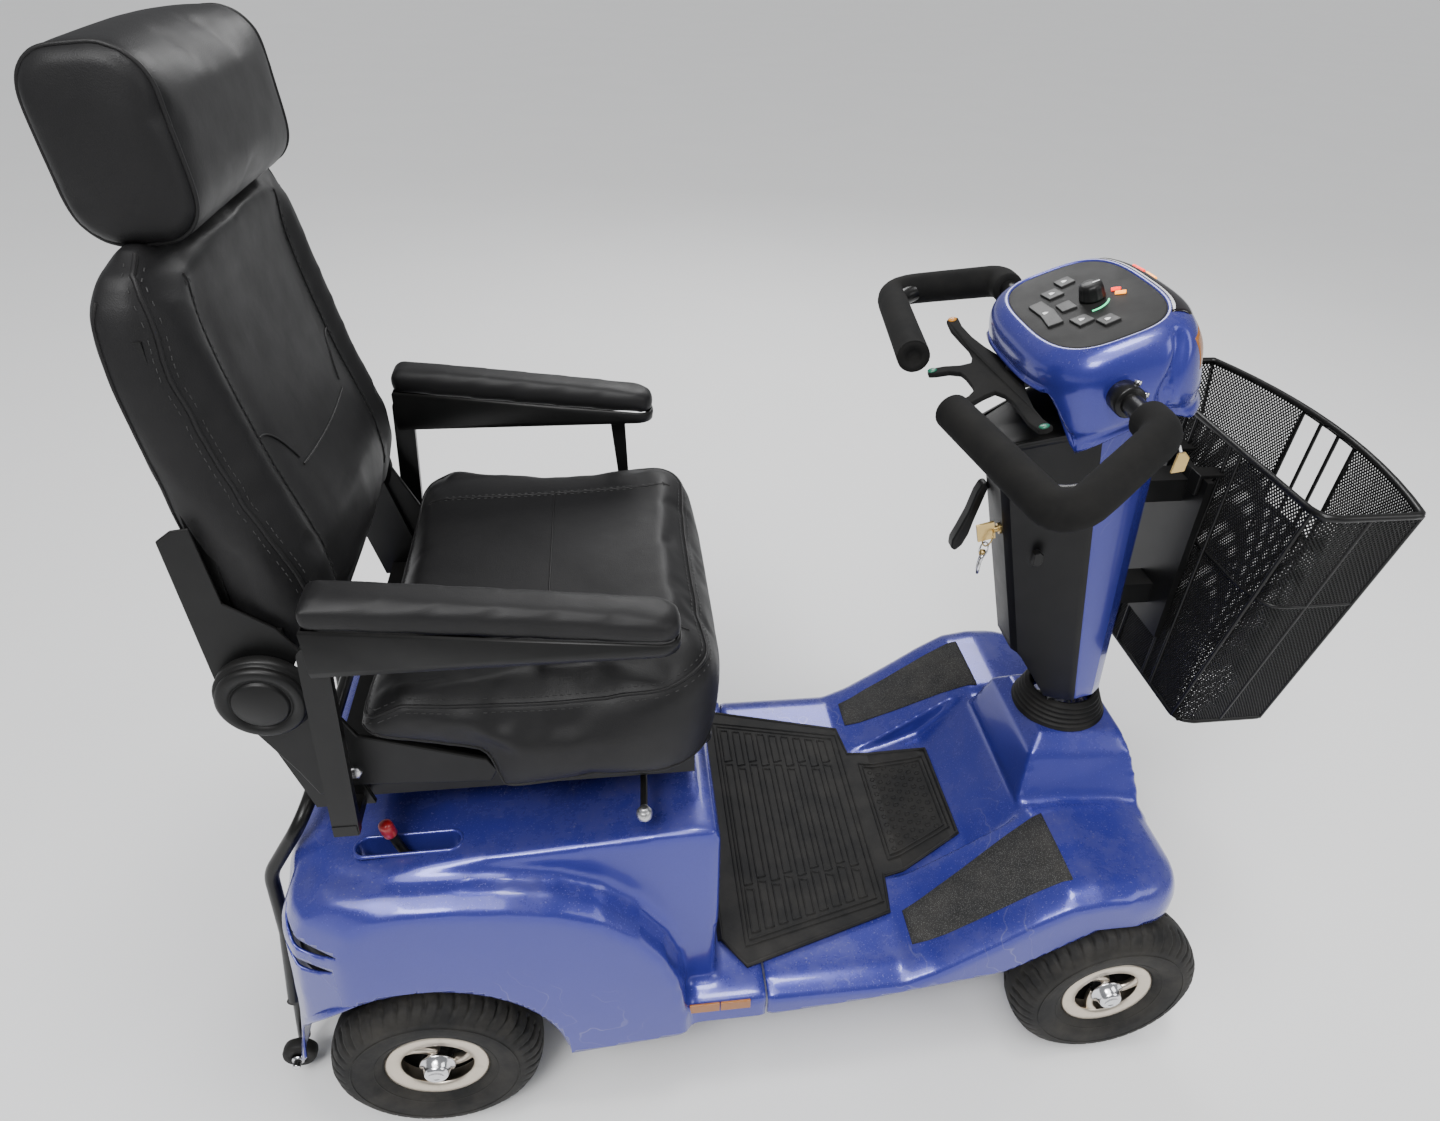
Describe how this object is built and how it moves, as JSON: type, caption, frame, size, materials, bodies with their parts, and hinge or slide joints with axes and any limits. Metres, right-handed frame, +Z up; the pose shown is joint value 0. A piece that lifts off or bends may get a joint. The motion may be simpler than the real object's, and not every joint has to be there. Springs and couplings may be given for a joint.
{
  "type": "mobility scooter",
  "caption": "Four-wheel battery mobility scooter with swivelling captain seat, flip-up armrests, steering tiller with loop handlebar, foot deck and front mesh basket.",
  "frame": {"origin": "on the floor under the middle of the whole scooter", "axes": "+X forward, +Y to the rider's left, +Z up"},
  "size_m": [1.355, 0.612, 1.2368],
  "materials": {
    "blue_body": "metallic blue plastic paint, dusty gloss",
    "black_plastic": "satin",
    "panel_dark": "dark satin inset",
    "key_plastic": "satin",
    "vinyl_black": "black vinyl, low sheen, fine grain",
    "tyre_rubber": "dusty black rubber",
    "rubber_black": "matte",
    "rim_alloy": "champagne silver, satin",
    "steel_black": "black powder coat",
    "steel_bright": "plated",
    "mesh_black": "black coated wire mesh",
    "foam_black": "closed cell foam",
    "grit_grey": "grey speckled grit",
    "lever_red": "red tip on black stem",
    "reflector_amber": "moulded amber",
    "battery_case": "matt",
    "drive_cast": "cast grey"
  },
  "bodies": {
    "chassis": {"main_frame": "steel_black", "drive_transaxle": "drive_cast", "batteries": "battery_case", "controller_box": "battery_case", "rear_guard_frame": "steel_black", "rear_shroud": "blue_body", "front_shroud": "blue_body", "floor_mat": "rubber_black", "fender_pads": "grit_grey", "side_reflectors": "reflector_amber", "seat_post": "steel_bright"},
    "rear_wheel_left": {"rear_tyre_left": "tyre_rubber", "rear_rim_left": "rim_alloy"},
    "rear_wheel_right": {"rear_tyre_right": "tyre_rubber", "rear_rim_right": "rim_alloy"},
    "front_wheel_left": {"front_tyre_left": "tyre_rubber", "front_rim_left": "rim_alloy"},
    "front_wheel_right": {"front_tyre_right": "tyre_rubber", "front_rim_right": "rim_alloy"},
    "knuckle_left": {"steering_knuckle_left": "drive_cast"},
    "knuckle_right": {"steering_knuckle_right": "drive_cast"},
    "roller_left": {"anti_tip_roller_left": "rubber_black"},
    "roller_right": {"anti_tip_roller_right": "rubber_black"},
    "freewheel": {"freewheel_lever": "lever_red"},
    "steering": {"steering_shaft": "steel_bright", "steering_boot": "rubber_black"},
    "track_rod": {"tie_rod": "steel_bright"},
    "tiller": {"tiller_frame": "steel_black", "column_rear_cover": "black_plastic", "column_front_cover": "blue_body", "console_shell": "blue_body", "console_panel": "panel_dark", "handlebar": "steel_black", "hand_grips": "foam_black", "basket_bracket": "steel_black"},
    "key_switch": {"ignition_key": "steel_bright"},
    "tilt_paddle": {"tilt_lever": "black_plastic"},
    "knob": {"speed_knob": "black_plastic"},
    "speed_paddle": {"wigwag_lever": "black_plastic"},
    "basket_body": {"basket": "mesh_black"},
    "swivel": {"swivel_plate": "steel_black"},
    "swivel_handle": {"swivel_lever": "steel_bright"},
    "seat": {"seat_frame": "steel_black", "seat_cushion": "vinyl_black", "seat_side_covers": "black_plastic"},
    "slide_handle": {"slide_release_bar": "steel_black"},
    "back": {"backrest_frame": "steel_black", "backrest_cushion": "vinyl_black"},
    "headrest": {"headrest_posts": "steel_bright", "headrest_cushion": "vinyl_black"},
    "armrest_left": {"armrest_case_left": "black_plastic", "armrest_pad_left": "vinyl_black"},
    "armrest_right": {"armrest_case_right": "black_plastic", "armrest_pad_right": "vinyl_black"},
    "left_turn_key_body": {"left_turn_key": "key_plastic"},
    "lamp_key_body": {"lamp_key": "key_plastic"},
    "horn_key_body": {"horn_key": "key_plastic"},
    "slow_key_body": {"slow_key": "key_plastic"},
    "hazard_key_body": {"hazard_key": "key_plastic"},
    "right_turn_key_body": {"right_turn_key": "key_plastic"}
  },
  "joints": [
    {"name": "steering_turn", "type": "hinge", "parent": "chassis", "child": "steering", "pos_m": [0.421, 0, 0], "axis": [0, 0, 1], "range_deg": [-35, 35]},
    {"name": "knuckle_turn_left", "type": "hinge", "parent": "chassis", "child": "knuckle_left", "pos_m": [0.437, 0.195, 0], "axis": [0, 0, 1], "range_deg": [-35, 35]},
    {"name": "knuckle_turn_right", "type": "hinge", "parent": "chassis", "child": "knuckle_right", "pos_m": [0.437, -0.195, 0], "axis": [0, 0, 1], "range_deg": [-35, 35]},
    {"name": "track_rod_pivot", "type": "hinge", "parent": "steering", "child": "track_rod", "pos_m": [0.351, 0, 0.181], "axis": [0, 0, 1], "range_deg": [-35, 35]},
    {"name": "front_axle_left", "type": "hinge", "parent": "knuckle_left", "child": "front_wheel_left", "pos_m": [0.437, 0.262, 0.13], "axis": [0, 1, 0], "continuous": true},
    {"name": "front_axle_right", "type": "hinge", "parent": "knuckle_right", "child": "front_wheel_right", "pos_m": [0.437, -0.262, 0.13], "axis": [0, 1, 0], "continuous": true},
    {"name": "rear_axle_left", "type": "hinge", "parent": "chassis", "child": "rear_wheel_left", "pos_m": [-0.452, 0.262, 0.13], "axis": [0, 1, 0], "continuous": true},
    {"name": "rear_axle_right", "type": "hinge", "parent": "chassis", "child": "rear_wheel_right", "pos_m": [-0.452, -0.262, 0.13], "axis": [0, 1, 0], "continuous": true},
    {"name": "anti_tip_axle_left", "type": "hinge", "parent": "chassis", "child": "roller_left", "pos_m": [-0.657, 0.199, 0.04], "axis": [0, 1, 0], "continuous": true},
    {"name": "anti_tip_axle_right", "type": "hinge", "parent": "chassis", "child": "roller_right", "pos_m": [-0.657, -0.199, 0.04], "axis": [0, 1, 0], "continuous": true},
    {"name": "freewheel_pivot", "type": "hinge", "parent": "chassis", "child": "freewheel", "pos_m": [-0.442, -0.2085, 0.4], "axis": [0, 1, 0], "range_deg": [0, 36]},
    {"name": "tiller_tilt", "type": "hinge", "parent": "steering", "child": "tiller", "pos_m": [0.408, 0, 0.48], "axis": [0, 1, 0], "range_deg": [-14, 10]},
    {"name": "key_turn", "type": "hinge", "parent": "tiller", "child": "key_switch", "pos_m": [0.27222, -0.014, 0.715], "axis": [-0.9687, 0, -0.2481], "range_deg": [0, 90]},
    {"name": "tilt_paddle_pivot", "type": "hinge", "parent": "tiller", "child": "tilt_paddle", "pos_m": [0.256, 0.028, 0.752], "axis": [0, 1, 0], "range_deg": [0, 25], "stiffness_Nm_per_rad": 0.6, "springref_deg": -11.46},
    {"name": "speed_knob_turn", "type": "hinge", "parent": "tiller", "child": "knob", "pos_m": [0.32549, 0, 0.9928], "axis": [-0.3502, 0, 0.9367], "range_deg": [-135, 135]},
    {"name": "speed_paddle_turn", "type": "hinge", "parent": "tiller", "child": "speed_paddle", "pos_m": [0.253, 0, 0.921], "axis": [-0.2588, 0, 0.9659], "range_deg": [-9, 9], "stiffness_Nm_per_rad": 1.2},
    {"name": "left_turn_key_press", "type": "slide", "parent": "tiller", "child": "left_turn_key_body", "axis": [0.3502, 0, -0.9367], "range_m": [0, 0.0008], "stiffness_N_per_m": 400, "springref_m": -0.0006},
    {"name": "lamp_key_press", "type": "slide", "parent": "tiller", "child": "lamp_key_body", "axis": [0.3502, 0, -0.9367], "range_m": [0, 0.0008], "stiffness_N_per_m": 400, "springref_m": -0.0006},
    {"name": "horn_key_press", "type": "slide", "parent": "tiller", "child": "horn_key_body", "axis": [0.3502, 0, -0.9367], "range_m": [0, 0.0008], "stiffness_N_per_m": 400, "springref_m": -0.0006},
    {"name": "slow_key_press", "type": "slide", "parent": "tiller", "child": "slow_key_body", "axis": [0.3502, 0, -0.9367], "range_m": [0, 0.0008], "stiffness_N_per_m": 400, "springref_m": -0.0006},
    {"name": "hazard_key_press", "type": "slide", "parent": "tiller", "child": "hazard_key_body", "axis": [0.3502, 0, -0.9367], "range_m": [0, 0.0008], "stiffness_N_per_m": 400, "springref_m": -0.0006},
    {"name": "right_turn_key_press", "type": "slide", "parent": "tiller", "child": "right_turn_key_body", "axis": [0.3502, 0, -0.9367], "range_m": [0, 0.0008], "stiffness_N_per_m": 400, "springref_m": -0.0006},
    {"name": "basket_lift", "type": "slide", "parent": "tiller", "child": "basket_body", "axis": [0, 0, 1], "range_m": [0, 0.06]},
    {"name": "seat_swivel", "type": "hinge", "parent": "chassis", "child": "swivel", "pos_m": [-0.302, 0, 0.5], "axis": [0, 0, 1], "continuous": true},
    {"name": "swivel_handle_pivot", "type": "hinge", "parent": "swivel", "child": "swivel_handle", "pos_m": [-0.179, -0.13, 0.518], "axis": [-1, 0, 0], "range_deg": [0, 6], "stiffness_Nm_per_rad": 1, "springref_deg": -17.19},
    {"name": "seat_slide", "type": "slide", "parent": "swivel", "child": "seat", "axis": [1, 0, 0], "range_m": [-0.03, 0.05]},
    {"name": "slide_handle_pivot", "type": "hinge", "parent": "seat", "child": "slide_handle", "pos_m": [-0.136, 0, 0.524], "axis": [0, -1, 0], "range_deg": [0, 6], "stiffness_Nm_per_rad": 0.8, "springref_deg": -11.46},
    {"name": "recline", "type": "hinge", "parent": "seat", "child": "back", "pos_m": [-0.535, 0, 0.7], "axis": [0, 1, 0], "range_deg": [-30, 55]},
    {"name": "headrest_height", "type": "slide", "parent": "back", "child": "headrest", "axis": [0, 0, 1], "range_m": [0, 0.06]},
    {"name": "armrest_lift_left", "type": "hinge", "parent": "seat", "child": "armrest_left", "pos_m": [-0.469, 0.261, 0.77], "axis": [0, -1, 0], "range_deg": [0, 90]},
    {"name": "armrest_lift_right", "type": "hinge", "parent": "seat", "child": "armrest_right", "pos_m": [-0.469, -0.261, 0.77], "axis": [0, -1, 0], "range_deg": [0, 90]}
  ],
  "couplings": [
    {"joint": "knuckle_turn_left", "follows": "steering_turn", "ratio": 1},
    {"joint": "knuckle_turn_right", "follows": "steering_turn", "ratio": 1},
    {"joint": "track_rod_pivot", "follows": "steering_turn", "ratio": -1}
  ]
}
